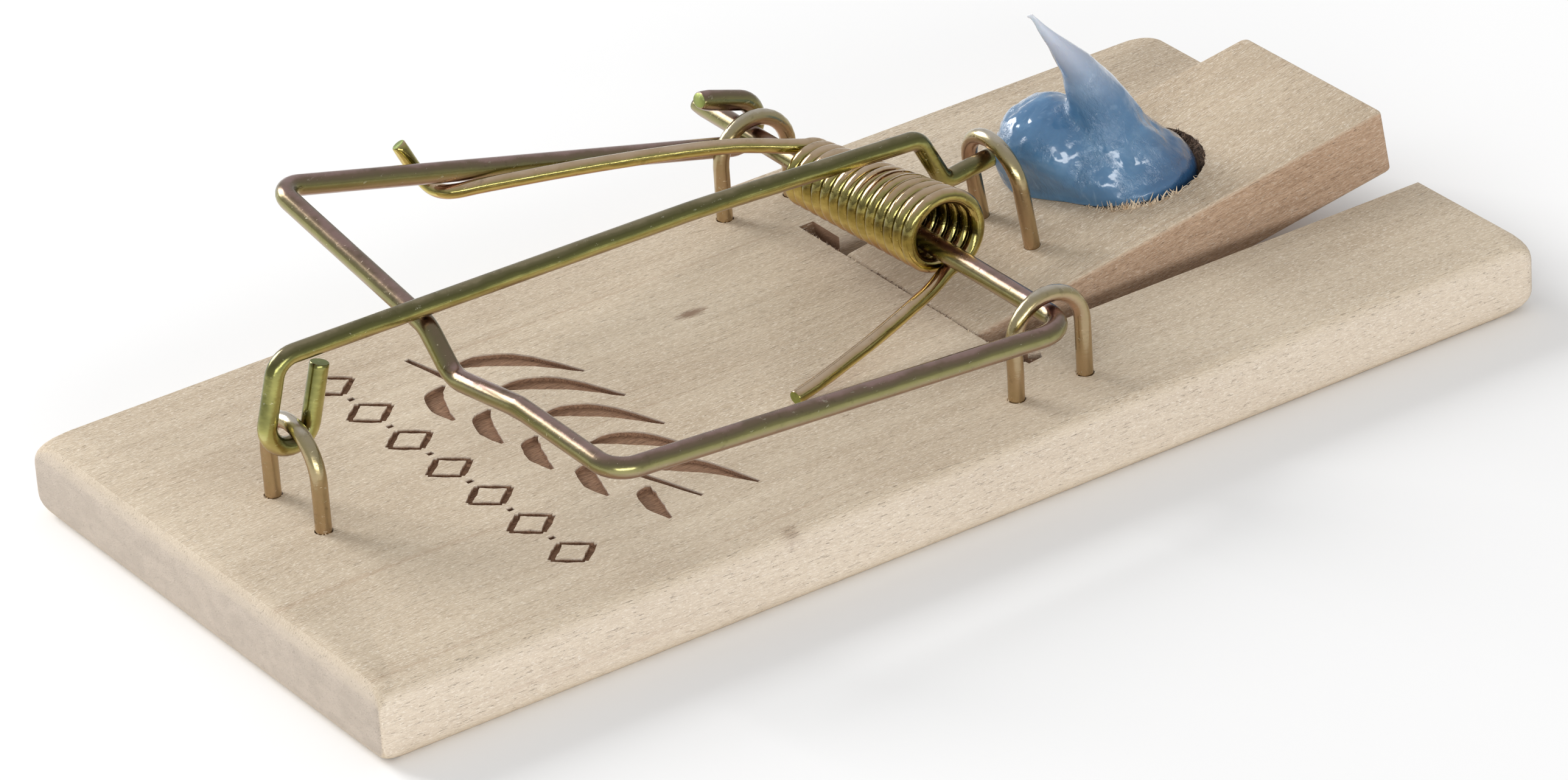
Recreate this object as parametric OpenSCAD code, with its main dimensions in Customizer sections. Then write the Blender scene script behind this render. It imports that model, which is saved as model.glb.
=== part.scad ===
// Snap mouse trap: a wooden board with a tipping bait paddle, a sprung hammer bar and a lock bar.
// Millimetres. The origin is the centre of the board's underside, +X runs along the board towards
// the bait end, +Y to the side where the axle's free end sticks out, +Z up.

/* [Board] */
// Length of the board
board_l = 98; // [97:0.5:104]
// Width of the board
board_w = 46; // [45:0.5:48]
// Thickness of the board
board_t = 5.6; // [5.4:0.1:6]
// Corner radius of the board, seen from above
corner_r = 0.5; // [0.3:0.1:3]
// Width of the cut-out that the paddle tips in
cutout_w = 20.8; // [20:0.1:22]
// Left wall of the saw cut that ends the cut-out
kerf_x = 10.25; // [10:0.05:10.4]
// Thickness of the saw blade
kerf_w = 1.25; // [1:0.05:1.4]
// Radius of the saw blade
saw_r = 14; // [13.8:0.1:14.5]
// Height of the saw blade's centre
saw_z = 8.5; // [8.2:0.1:8.6]

/* [Paddle] */
// Width of the paddle
paddle_w = 16.2; // [15.6:0.1:16.6]
// Thickness of the paddle
paddle_t = 5.2; // [5:0.1:5.4]
// Upward tilt of the set paddle, in degrees
paddle_tilt = 8.5; // [8:0.1:8.8]
// Length of the paddle in front of its hinge
paddle_front = 35.2; // [34.5:0.1:35.6]
// Length of the paddle behind its hinge
paddle_back = 1.8; // [1.6:0.1:1.8]
// Radius of the bait hole
bait_hole_r = 5.45; // [5:0.05:6]
// Depth of the bait hole
bait_hole_depth = 4; // [3:0.1:4.2]

/* [Hinge pin] */
// Radius of the steel pin that the paddle tips on
pin_r = 0.55; // [0.5:0.01:0.56]
// Running clearance of the pin in the paddle
pin_gap = 0.05; // [0.03:0.01:0.1]

/* [Staples] */
// Thickness of the staple wire
staple_d = 1.2; // [1.1:0.05:1.25]
// Height of the axle staples' arches, at the middle of the wire
staple_z = 12.78; // [12.75:0.01:12.9]
// Spacing of the axle staples' legs
axle_staple_w = 5.9; // [5.8:0.1:6.2]
// Spacing of the front staple's legs
front_staple_w = 6.6; // [6.4:0.1:6.8]

/* [Hammer bar] */
// Thickness of the hammer bar's wire
hammer_d = 1.55; // [1.5:0.05:1.6]
// Bend radius of the hammer bar's corners, at the middle of the wire
hammer_bend = 1.9; // [1.7:0.1:2]

/* [Lock bar] */
// Thickness of the lock bar's wire
lock_d = 1.4; // [1.3:0.05:1.45]

/* [Spring] */
// Thickness of the spring wire
spring_d = 1.1; // [1:0.05:1.12]
// Mean radius of the coil at its -Y end
coil_r0 = 2.75; // [2.7:0.01:2.8]
// Mean radius of the coil at its +Y end, where it is drawn tight on the axle
coil_r1 = 2; // [1.95:0.01:2.05]
// Number of turns between the two legs
coil_turns = 14.5; // [13.5:1:14.5]

/* [Hidden] */
$fn = 48;
eps = 0.01;

// Hinge of the paddle
hinge_x = 12.6;
hinge_z = 3.1;
// Middle of the paddle across the board
paddle_y = 0.2;
// Bait hole, along the paddle from its hinge and across the board
bait_hole_u = 18.7;
bait_hole_y = 0.8;
// Paddle staple, along the paddle from its hinge, and the height of its arch over the paddle
paddle_staple_u = 7.8;
paddle_staple_y = 1.3;
paddle_staple_w = 6.2;
paddle_staple_h = 7.85;
// Depth of the staples' legs in the wood, and the slack of the wood round them
leg_depth = 4.2;
leg_gap = 0.02;
// Pin's ends: the outer one stops short of the far staple's leg
pin_y0 = -15.8;
pin_y1 = 17.2;
// Middle of the axle
axle_x = 10;
axle_z = 11.2;
axle_staple_y = [-17.7, 18.3];
front_staple_x = -39.85;
front_staple_y = 1.6;
// Hammer bar: its crossbar steps down under the lock bar, and its far arm ends in a hook
near_arm_y = -20.4;
far_arm_y = 21;
axle_end_y = 25.6;
hammer_near = [-27.8, near_arm_y, 13.6];
hammer_rise = [-28, -9.1, 14];
hammer_step_low = [-28.1, -0.9, 12.9];
hammer_step_high = [-28.25, 1.9, 15.95];
hammer_far = [-28.4, far_arm_y, 19.2];
hook_r = 1.8;
hook_up = 0.09;
hook_lift = 18;
hook_tail = 3.6;
// Lock bar: its hook turns on the front staple's arch
lock_y = 1.6;
lock_hook_r = 1.75;
lock_lean = 15;
lock_bar_z = 17.7;
// Spring coil: its middle is tilted on the axle, because one leg lifts it and the other pulls it down
coil_y0 = -5.2;
coil_y1 = 11.5;
coil_mid0 = [10.4, 12.42];
coil_mid1 = [9.9, 11.12];
bend_lap = 0.05;
bend_swell = 0.02;
coil_steps = 16;
coil_sides = 6;

wood = [0.82, 0.75, 0.66];
zinc = [0.53, 0.5, 0.34];
gold = [0.68, 0.6, 0.34];
gel_blue = [0.35, 0.52, 0.7];

// Unit vector along v
function unit(v) = v / norm(v);
// Angle between two directions
function turn(a, b) = atan2(norm(cross(a, b)), a * b);
// Distance from a corner to where its bend starts
function setback(a, b, r) = r * tan(turn(a, b) / 2);

// Straight piece of round wire from a to b
module rod(a, b, d) {
    v = b - a;
    translate(a)
        rotate([0, acos(v.z / norm(v)), atan2(v.y, v.x)])
            cylinder(h = norm(v), d = d);
}

// Part of a round wire's ring of radius r, from +X by the angle a, lapping a little over the rods that it joins
module arc(r, a, d) {
    lap = bend_lap / r * 180 / PI;
    rotate(-lap)
        rotate_extrude(angle = a + 2 * lap)
            translate([r, 0])
                circle(d = d + 2 * bend_swell);
}

// Bend of radius r at corner p, between unit directions u and v
module bend(p, u, v, r, d) {
    z_dir = unit(cross(u, v));
    start = p - u * setback(u, v, r);
    x_dir = cross(u, z_dir);
    mid = start - x_dir * r;
    multmatrix([
        [x_dir.x, u.x, z_dir.x, mid.x],
        [x_dir.y, u.y, z_dir.y, mid.y],
        [x_dir.z, u.z, z_dir.z, mid.z],
        [0, 0, 0, 1]
    ])
        arc(r, turn(u, v), d);
}

// Round wire along corners p, each inner corner rounded to the radius r at the same place
module wire(p, r, d) {
    n = len(p);
    dirs = [for (i = [0:n - 2]) unit(p[i + 1] - p[i])];
    back = [for (i = [0:n - 1]) (i == 0 || i == n - 1) ? 0 : setback(dirs[i - 1], dirs[i], r[i])];
    for (i = [0:n - 2])
        rod(p[i] + dirs[i] * back[i], p[i + 1] - dirs[i] * back[i + 1], d);
    for (i = [1:n - 2])
        bend(p[i], dirs[i - 1], dirs[i], r[i], d);
}

// Staple in the plane Y = 0: two legs w apart, an arch whose wire is h high, legs sunk by depth
module staple(w, h, depth) {
    for (side = [-1, 1])
        translate([side * w / 2, 0, -depth])
            cylinder(h = depth + h - w / 2, d = staple_d);
    translate([0, 0, h - w / 2])
        rotate([90, 0, 0])
            rotate_extrude(angle = 180)
                translate([w / 2, 0])
                    circle(d = staple_d);
}

// The two holes that a staple's legs make in the wood
module staple_holes(w, depth) {
    for (side = [-1, 1])
        translate([side * w / 2, 0, -depth])
            cylinder(h = depth + 1, r = staple_d / 2 + leg_gap);
}

module place_axle_staple(i) {
    translate([axle_x - 0.15, axle_staple_y[i], board_t])
        children();
}

module place_front_staple() {
    translate([front_staple_x, front_staple_y, board_t])
        rotate(90)
            children();
}

// Frame of the paddle: the origin on the hinge, +X along the paddle
module paddle_frame() {
    translate([hinge_x, 0, hinge_z])
        rotate([0, -paddle_tilt, 0])
            children();
}

module place_paddle_staple() {
    paddle_frame()
        translate([paddle_staple_u, paddle_staple_y, paddle_t / 2])
            rotate(90)
                children();
}

// Board's outline with its four rounded corners
module board_outline() {
    x = board_l / 2;
    y = board_w / 2;
    r = corner_r;
    square([board_l - 2 * r, board_w], center = true);
    square([board_l, board_w - 2 * r], center = true);
    for (i = [-1, 1], j = [-1, 1])
        translate([i * (x - r), j * (y - r)])
            circle(r);
}

module base_board() {
    color(wood)
        difference() {
            linear_extrude(board_t)
                board_outline();
            translate([kerf_x + kerf_w / 2, -cutout_w / 2, -1])
                cube([board_l, cutout_w, board_t + 2]);
            translate([kerf_x, 0, saw_z])
                rotate([0, 90, 0])
                    cylinder(h = kerf_w, r = saw_r);
            for (i = [0, 1])
                place_axle_staple(i)
                    staple_holes(axle_staple_w, leg_depth);
            place_front_staple()
                staple_holes(front_staple_w, leg_depth);
            translate([hinge_x, pin_y0, hinge_z])
                rotate([-90, 0, 0])
                    cylinder(h = board_w, r = pin_r + leg_gap);
        }
}

module trigger_paddle() {
    color(wood)
        difference() {
            paddle_frame()
                translate([-paddle_back, paddle_y - paddle_w / 2, -paddle_t / 2])
                    cube([paddle_back + paddle_front, paddle_w, paddle_t]);
            paddle_frame()
                translate([bait_hole_u, bait_hole_y, paddle_t / 2 - bait_hole_depth])
                    cylinder(h = bait_hole_depth + 1, r = bait_hole_r);
            place_paddle_staple()
                staple_holes(paddle_staple_w, leg_depth);
            translate([hinge_x, -paddle_w, hinge_z])
                rotate([-90, 0, 0])
                    cylinder(h = 2 * paddle_w, r = pin_r + pin_gap);
        }
}

module paddle_pin() {
    color("silver")
        translate([hinge_x, pin_y0 + 0.2, hinge_z])
            rotate([-90, 0, 0])
                cylinder(h = pin_y1 - pin_y0 - 0.2, r = pin_r);
}

module near_staple() {
    color(zinc)
        place_axle_staple(0)
            staple(axle_staple_w, staple_z - board_t, leg_depth - 0.1);
}

module far_staple() {
    color(zinc)
        place_axle_staple(1)
            staple(axle_staple_w, staple_z - board_t, leg_depth - 0.1);
}

module front_staple() {
    color(zinc)
        place_front_staple()
            staple(front_staple_w, staple_z - 0.15 - board_t, leg_depth - 0.1);
}

module paddle_staple() {
    color(zinc)
        place_paddle_staple()
            staple(paddle_staple_w, paddle_staple_h, leg_depth - 0.1);
}

// One wire: the axle, the near arm, the stepped crossbar, the far arm and the hook round the axle
module hammer_bar() {
    // The far arm runs under the axle and turns up round it
    eye = [axle_x, far_arm_y, axle_z + hook_up];
    span = [eye.x - hammer_far.x, eye.z - hammer_far.z];
    arm_angle = atan2(span.y, span.x) - asin(hook_r / norm(span));
    arm_len = sqrt(span * span - hook_r * hook_r);
    arm_dir = [cos(arm_angle), 0, sin(arm_angle)];
    arm_end = hammer_far + arm_dir * arm_len;
    tail_dir = [-cos(hook_lift), 0, sin(hook_lift)];
    tail_start = eye + hook_r * [sin(hook_lift), 0, cos(hook_lift)];
    color(zinc) {
        wire(
            [
                [axle_x, axle_end_y, axle_z], [axle_x, near_arm_y, axle_z], hammer_near, hammer_rise,
                hammer_step_low, hammer_step_high, hammer_far, arm_end
            ],
            [0, 2.7, hammer_bend, 3, 2.2, 2, hammer_bend, 0],
            hammer_d
        );
        translate(eye)
            rotate([90, 0, 0])
                rotate([0, 0, arm_angle - 90])
                    arc(hook_r, 180 - hook_lift - arm_angle, hammer_d);
        rod(tail_start, tail_start + tail_dir * hook_tail, hammer_d);
    }
}

// Middle of the coil at a share t of its length, as X and Z
function coil_mid(t) = coil_mid0 * (1 - t) + coil_mid1 * t;
// Points of the coil's wire: it starts under the axle and ends above it
function coil_points() = [
    for (i = [0:coil_turns * coil_steps])
        let (t = i / (coil_turns * coil_steps))
        let (a = -90 + 360 * coil_turns * t)
        let (m = coil_mid(t))
        let (r = coil_r0 * (1 - t) + coil_r1 * t)
        [m.x + r * cos(a), coil_y0 + (coil_y1 - coil_y0) * t, m.y + r * sin(a)]
];
// The leg that presses on the board, and the leg that hooks under the hammer bar's far arm
board_leg = [
    [-5.3, -8.38, 6.2], [-2.7, -7.9, 6.5], [0.3, -7.3, 7.0], [3.4, -6.75, 7.65], [6.45, -6.15, 8.4],
    [8.4, -5.75, 8.95]
];
hammer_leg = [
    [8.6, 12.05, 13.32], [6.9, 12.7, 13.7], [4.8, 13.5, 14.05], [0.6, 15.05, 14.32], [-5.7, 17.35, 14.42],
    [-12, 19.6, 14.35], [-14.1, 20.4, 14.25], [-14.9, 21.2, 14.2], [-15.25, 22.1, 14.35],
    [-15.6, 22.9, 15.05], [-15.9, 23.2, 15.75], [-16.7, 23.6, 17.6]
];

// Ring of points round p, square to direction v, with its first point towards up
function ring(p, v, up, r, sides) =
    let (x = unit(cross(v, up)))
    let (y = cross(x, v))
    [for (k = [0:sides - 1]) p + r * (cos(360 * k / sides) * y + sin(360 * k / sides) * x)];

// Tube of the given radius swept along points p
module tube(p, r, sides) {
    n = len(p);
    rings = [
        for (i = [0:n - 1])
            let (v = p[min(i + 1, n - 1)] - p[max(i - 1, 0)])
            each ring(p[i], unit(v), [0, 1, 0.02], r, sides)
    ];
    faces = concat(
        [[for (k = [0:sides - 1]) k]],
        [
            for (i = [0:n - 2], k = [0:sides - 1])
                [
                    i * sides + k, (i + 1) * sides + k,
                    (i + 1) * sides + (k + 1) % sides, i * sides + (k + 1) % sides
                ]
        ],
        [[for (k = [sides - 1:-1:0]) (n - 1) * sides + k]]
    );
    polyhedron(rings, faces, convexity = 20);
}

module torsion_spring() {
    color(gold)
        tube(concat(board_leg, coil_points(), hammer_leg), spring_d / 2, coil_sides);
}

// One wire: the hook round the front staple, the bar and the tip that sits under the paddle staple
module lock_bar() {
    lean = [sin(lock_lean), 0, cos(lock_lean)];
    side = [cos(lock_lean), 0, -sin(lock_lean)];
    mid = [front_staple_x, lock_y, staple_z - 0.15];
    left = mid - side * lock_hook_r;
    right = mid + side * lock_hook_r;
    top = left + lean * (lock_bar_z - left.z) / lean.z;
    color(zinc) {
        wire(
            [
                left, top, [-6, lock_y, 17.35], [12.9, lock_y, 16.42], [14.98, lock_y, 12.4],
                [19.1, lock_y, 12.93]
            ],
            [0, 1.7, 80, 1.3, 1.2, 0],
            lock_d
        );
        rod(right, right + lean * 4.3, lock_d);
        translate(mid)
            rotate([90, 0, 0])
                rotate([0, 0, 180 - lock_lean])
                    arc(lock_hook_r, 180, lock_d);
    }
}

// Tapered piece of the gel's drawn-out peak, from a to b, with a slightly fuller ball at its end
module peak(a, b, r1, r2) {
    v = b - a;
    translate(a)
        rotate([0, acos(v.z / norm(v)), atan2(v.y, v.x)])
            cylinder(h = norm(v), r1 = r1, r2 = r2);
    translate(b)
        sphere(r2 * 1.04 + 0.02);
}

// The dab of gel: a plug that fills the hole, a dome and a lobe over it and a drawn-out peak
module bait_gel() {
    color(gel_blue) {
        paddle_frame()
            translate([bait_hole_u - 0.5, bait_hole_y, paddle_t / 2 - bait_hole_depth + 0.05])
                cylinder(h = bait_hole_depth + 0.5, r = bait_hole_r - 0.65);
        intersection() {
            union() {
                translate([26.1, 3.9, 10.1])
                    sphere(4.4);
                peak([30.3, 1, 7.8], [28.8, 1.2, 13], 5.1, 2.9);
                peak([28.8, 1.2, 13], [27.9, 1.1, 15.2], 2.9, 1.9);
                peak([27.9, 1.1, 15.2], [26.5, 1, 17.9], 1.9, 1.1);
                peak([26.5, 1, 17.9], [24.7, 1, 20.5], 1.1, 0.5);
                peak([24.7, 1, 20.5], [22.9, 1, 23.2], 0.5, 0.2);
            }
            paddle_frame()
                translate([0, -board_w / 2, paddle_t / 2 + 0.03])
                    cube([board_l, board_w, board_w]);
        }
    }
}

base_board();
trigger_paddle();
paddle_pin();
near_staple();
far_staple();
front_staple();
paddle_staple();
hammer_bar();
torsion_spring();
lock_bar();
bait_gel();
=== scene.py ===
import math
import random

import bmesh
import bpy
import numpy as np
from mathutils import Matrix, Vector, noise


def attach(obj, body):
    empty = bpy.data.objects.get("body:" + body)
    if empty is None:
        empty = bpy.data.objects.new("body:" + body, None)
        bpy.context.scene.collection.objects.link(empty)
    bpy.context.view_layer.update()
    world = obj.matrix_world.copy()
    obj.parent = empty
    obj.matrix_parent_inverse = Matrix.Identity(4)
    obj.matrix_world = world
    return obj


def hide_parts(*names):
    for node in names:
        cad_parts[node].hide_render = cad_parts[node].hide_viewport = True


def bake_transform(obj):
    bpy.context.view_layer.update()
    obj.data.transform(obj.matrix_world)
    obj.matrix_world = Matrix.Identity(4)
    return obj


MM = 0.001
rng = random.Random(11)

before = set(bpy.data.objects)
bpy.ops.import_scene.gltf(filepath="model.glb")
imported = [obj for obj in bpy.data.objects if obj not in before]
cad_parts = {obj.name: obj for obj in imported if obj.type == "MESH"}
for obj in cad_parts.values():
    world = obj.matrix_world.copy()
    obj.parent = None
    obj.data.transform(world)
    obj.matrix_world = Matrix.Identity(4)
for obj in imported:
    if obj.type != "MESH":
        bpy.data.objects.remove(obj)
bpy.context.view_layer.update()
scene = bpy.context.scene


# ---------------------------------------------------------------- sizes shared with the CAD, in millimetres
BOARD_X, BOARD_Y, BOARD_T = 49, 23, 5.6  # half length, half width, thickness
SLOT_Y = 10.4  # half width of the slot that the paddle lies in
KERF_X, KERF_W = 10.25, 1.25  # saw cut across the board
SAW_R, SAW_Z = 14, 8.5
AXLE = np.array([10.0, 0.0, 11.2])
NEAR_ARM_Y, FAR_ARM_Y, AXLE_END_Y = -20.4, 21, 25.6
HINGE = (12.6, 0.0, 3.1)
TILT = math.radians(8.5)
PADDLE_T = 5.2
PADDLE_Y, PADDLE_HALF = 0.2, 8.1  # middle and half width
HOLE = (18.7, 0.8, 5.45)  # bait hole: place on the paddle and radius
PIN_Y0, PIN_Y1, PIN_D = -15.6, 17.2, 1.1
STAPLE_D, LEG_DEPTH, LEG_HOLE_DEPTH, LEG_HOLE_R = 1.2, 4.1, 4.2, 0.62
AXLE_STAPLE_X, AXLE_STAPLE_W, AXLE_STAPLE_TOP = AXLE[0] - 0.15, 5.9, 12.78
NEAR_STAPLE_Y, FAR_STAPLE_Y = -17.7, 18.3
FRONT_STAPLE, FRONT_STAPLE_W, FRONT_STAPLE_TOP = (-39.85, 1.6), 6.6, 12.63
PADDLE_STAPLE, PADDLE_STAPLE_W, PADDLE_STAPLE_H = (7.8, 1.3), 6.2, 7.85
HAMMER_D, LOCK_D, SPRING_D = 1.55, 1.4, 1.1
to_paddle = Matrix.Translation(HINGE) @ Matrix.Rotation(-TILT, 4, "Y")
from_paddle = to_paddle.inverted()


# ---------------------------------------------------------------- camera
def make_camera():
    data = bpy.data.cameras.new("camera")
    data.sensor_width = 36
    data.lens = 188.78
    cam = bpy.data.objects.new("camera", data)
    scene.collection.objects.link(cam)
    right = (0.82119, -0.56744, -0.06055)
    up = (0.31548, 0.36300, 0.87676)
    back = (-0.47553, -0.73909, 0.47710)
    pose = Matrix((right, up, back)).transposed().to_4x4()
    pose.translation = Vector((-277.35, -429.82, 279.22)) * MM
    cam.matrix_world = pose
    scene.camera = cam


make_camera()


# ---------------------------------------------------------------- shader nodes
class Shader:
    """A material with a Principled surface, and short calls that add nodes to it."""

    def __init__(self, name, rough=0.5, metallic=0.0):
        self.mat = bpy.data.materials.new(name)
        self.mat.use_nodes = True
        self.tree = self.mat.node_tree
        self.bsdf = self.tree.nodes["Principled BSDF"]
        self.bsdf.inputs["Roughness"].default_value = rough
        self.bsdf.inputs["Metallic"].default_value = metallic
        self.coords = self.tree.nodes.new("ShaderNodeTexCoord")
        self.mm = self.vec("SCALE", self.coords.outputs["Object"], scale=1000)

    def node(self, kind, inputs=(), **settings):
        n = self.tree.nodes.new("ShaderNode" + kind)
        for key, value in settings.items():
            setattr(n, key, value)
        for key, value in dict(inputs).items():
            self.put(n.inputs[key], value)
        return n

    def put(self, socket, value):
        if isinstance(value, bpy.types.NodeSocket):
            self.tree.links.new(value, socket)
        else:
            socket.default_value = value

    def vec(self, op, a, b=None, scale=None):
        n = self.node("VectorMath", {0: a}, operation=op)
        if b is not None:
            self.put(n.inputs[1], b)
        if scale is not None:
            n.inputs["Scale"].default_value = scale
        return n.outputs["Vector"]

    def math(self, op, a, b=0.0, c=0.0):
        return self.node("Math", {0: a, 1: b, 2: c}, operation=op).outputs[0]

    def stretch(self, scale, shift=(0, 0, 0)):
        """Millimetre coordinates, stretched by scale along each axis."""
        return self.vec("ADD", self.vec("MULTIPLY", self.mm, scale), shift)

    def noise(self, vector, detail=3.0, rough=0.55, distortion=0.0):
        n = self.node("TexNoise", {"Vector": vector, "Scale": 1.0, "Detail": detail, "Roughness": rough,
                                   "Distortion": distortion})
        return n.outputs["Fac"]

    def between(self, value, low, high, smooth=True):
        """0 at low and beyond it, 1 at high and beyond it; low may be the greater of the two."""
        n = self.node("MapRange", {"Value": value, "From Min": low, "From Max": high})
        n.interpolation_type = "SMOOTHSTEP" if smooth else "LINEAR"
        return n.outputs["Result"]

    def ramp(self, value, stops):
        """Colour ramp through (position, colour) stops."""
        n = self.node("ValToRGB", {"Fac": value})
        ends = n.color_ramp.elements
        while len(ends) < len(stops):
            ends.new(0.5)
        for end, (at, colour) in zip(ends, stops):
            end.position = at
            end.color = (*colour, 1)
        return n.outputs["Color"]

    def mix(self, share, a, b):
        """Colour a, with a share of colour b over it."""
        n = self.node("Mix", data_type="RGBA")
        self.put(n.inputs["Factor"], share)
        for socket, value in ((n.inputs["A"], a), (n.inputs["B"], b)):
            if not isinstance(value, bpy.types.NodeSocket):
                value = (*value, 1)
            self.put(socket, value)
        return n.outputs["Result"]

    def split(self, vector):
        n = self.node("SeparateXYZ", {0: vector})
        return n.outputs[0], n.outputs[1], n.outputs[2]

    def bump(self, *layers):
        """Stacks (height, depth in millimetres) layers as bump, on the surface and on its coat."""
        normal = None
        for height, depth in layers:
            n = self.node("Bump", {"Height": height, "Distance": depth * MM, "Strength": 1.0})
            if normal is not None:
                self.put(n.inputs["Normal"], normal)
            normal = n.outputs["Normal"]
        self.put(self.bsdf.inputs["Normal"], normal)
        self.put(self.bsdf.inputs["Coat Normal"], normal)

    def finish(self, colour):
        self.put(self.bsdf.inputs["Base Color"], colour)
        return self.mat


def srgb(*values):
    """Linear colour of an sRGB colour given in levels of 255."""
    return tuple((v / 255 / 12.92) if v < 11 else ((v / 255 + 0.055) / 1.055) ** 2.4 for v in values)


# ---------------------------------------------------------------- materials
def wood(name, dark, light, end_grain, knots=(), burnt=False, shift=0.0, tilt=0.0, pale=0.62, side=0.0):
    """Pale wood whose grain runs along X, turned by tilt about Y.

    knots lists (centre, size, strength). burnt scorches the engraving's floor. pale is how strong the light flecks
    are, and side how much the long sides are paled as painted light.
    """
    s = Shader(name, rough=0.78)
    s.bsdf.inputs["Specular IOR Level"].default_value = 0.25
    drift = s.noise(s.stretch((0.012, 0.03, 0.05), (shift, 0, 3)), detail=2)
    wander = s.math("MULTIPLY", s.math("SUBTRACT", drift, 0.5), 9.0)
    turned = s.node("VectorRotate", {"Vector": s.mm, "Angle": tilt}, rotation_type="Y_AXIS").outputs[0]
    x, y, z = s.split(turned)
    along = s.node("CombineXYZ", {0: x, 1: s.math("ADD", y, wander), 2: z}).outputs[0]

    def grain(scale, offset, detail, rough=0.6):
        place = s.vec("ADD", s.vec("MULTIPLY", along, scale), (shift, offset, 0))
        return s.noise(place, detail=detail, rough=rough)

    # body colour: broad bands, streaks, fine fibres and blotches, then light flecks, pores and growth rings
    bands = grain((0.012, 0.55, 0.55), 0, 4, 0.7)
    streaks = grain((0.05, 2.4, 2.4), 7, 4)
    fibres = grain((1.6, 10.0, 10.0), 2, 3)
    flecks = grain((3.2, 13.0, 13.0), 5, 2)
    blotch = s.noise(s.stretch((0.06, 0.1, 0.1), (shift, 9, 0)), detail=2)
    tone = s.math("MULTIPLY", bands, 0.26)
    for layer, weight in ((streaks, 0.2), (fibres, 0.62), (blotch, 0.3)):
        tone = s.math("MULTIPLY_ADD", layer, weight, tone)
    colour = s.ramp(s.between(tone, 0.45, 0.93, False), [(0.0, dark), (1.0, light)])
    colour = s.mix(s.math("MULTIPLY", s.between(flecks, 0.55, 0.66), pale), colour, srgb(244, 234, 218))
    pores = s.between(grain((1.0, 9.5, 9.5), 12, 2), 0.62, 0.75)
    colour = s.mix(s.math("MULTIPLY", pores, 0.22), colour, srgb(140, 108, 84))
    ring = s.between(grain((0.006, 0.95, 0.95), 21, 5, 0.75), 0.6, 0.66)
    colour = s.mix(s.math("MULTIPLY", ring, 0.24), colour, srgb(166, 132, 104))
    for centre, size, depth in knots:
        away = s.vec("MULTIPLY", s.vec("SUBTRACT", s.mm, centre), [1 / v for v in size])
        near = s.node("VectorMath", {0: away}, operation="LENGTH").outputs["Value"]
        near = s.math("ADD", near, s.math("MULTIPLY", s.math("SUBTRACT", fibres, 0.5), 1.1))
        colour = s.mix(s.math("MULTIPLY", s.between(near, 1.0, 0.2), depth), colour, srgb(120, 86, 62))
    # what depends on the way a face points: long sides paled as painted light, end grain, and the softened edges
    # made a little paler
    facing = s.split(s.node("VectorRotate", {"Vector": s.coords.outputs["Normal"], "Angle": tilt},
                            rotation_type="Y_AXIS").outputs[0])
    # painted light: the long sides are paled as if they took more light than the top
    painted_side_light = s.between(s.math("ABSOLUTE", facing[1]), 0.6, 0.95)
    colour = s.mix(s.math("MULTIPLY", painted_side_light, side), colour, srgb(236, 224, 210))
    sawn_end = s.between(s.math("ABSOLUTE", facing[0]), 0.55, 0.85)
    dots = s.noise(s.stretch((0.4, 5.0, 5.0), (shift, 1, 0)), detail=4, rough=0.7)
    arcs = s.noise(s.stretch((0.1, 0.5, 0.9), (shift, 4, 0)), detail=4, distortion=0.6)
    ends = s.mix(s.between(arcs, 0.3, 0.7), end_grain, [v * 1.12 for v in end_grain])
    ends = s.mix(s.math("MULTIPLY", s.between(dots, 0.56, 0.7), 0.32), ends, [v * 0.55 for v in end_grain])
    colour = s.mix(sawn_end, colour, ends)
    lift = s.math("ABSOLUTE", facing[2])
    edge = s.math("MULTIPLY", s.between(lift, 0.2, 0.5), s.between(lift, 0.97, 0.8))
    colour = s.mix(s.math("MULTIPLY", edge, 0.3), colour, srgb(222, 206, 182))
    if burnt:  # only the engraving's floor and walls, which lie just below the top
        inside = s.math("MULTIPLY", s.between(z, 5.55, 5.42), s.between(z, 4.9, 5.1))
        for value, low, high in ((x, -31.6, -31.2), (x, -10.3, -10.8), (y, -18, -17.5), (y, 18.2, 17.8)):
            inside = s.math("MULTIPLY", inside, s.between(value, low, high))
        char = s.ramp(fibres, [(0.3, srgb(104, 72, 52)), (0.7, srgb(168, 128, 98))])
        colour = s.mix(s.math("MULTIPLY", inside, 0.92), colour, char)
    s.bump((streaks, 0.05), (fibres, 0.09), (s.math("MULTIPLY", pores, -1.0), 0.04), (dots, 0.03))
    return s.finish(colour)


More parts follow.
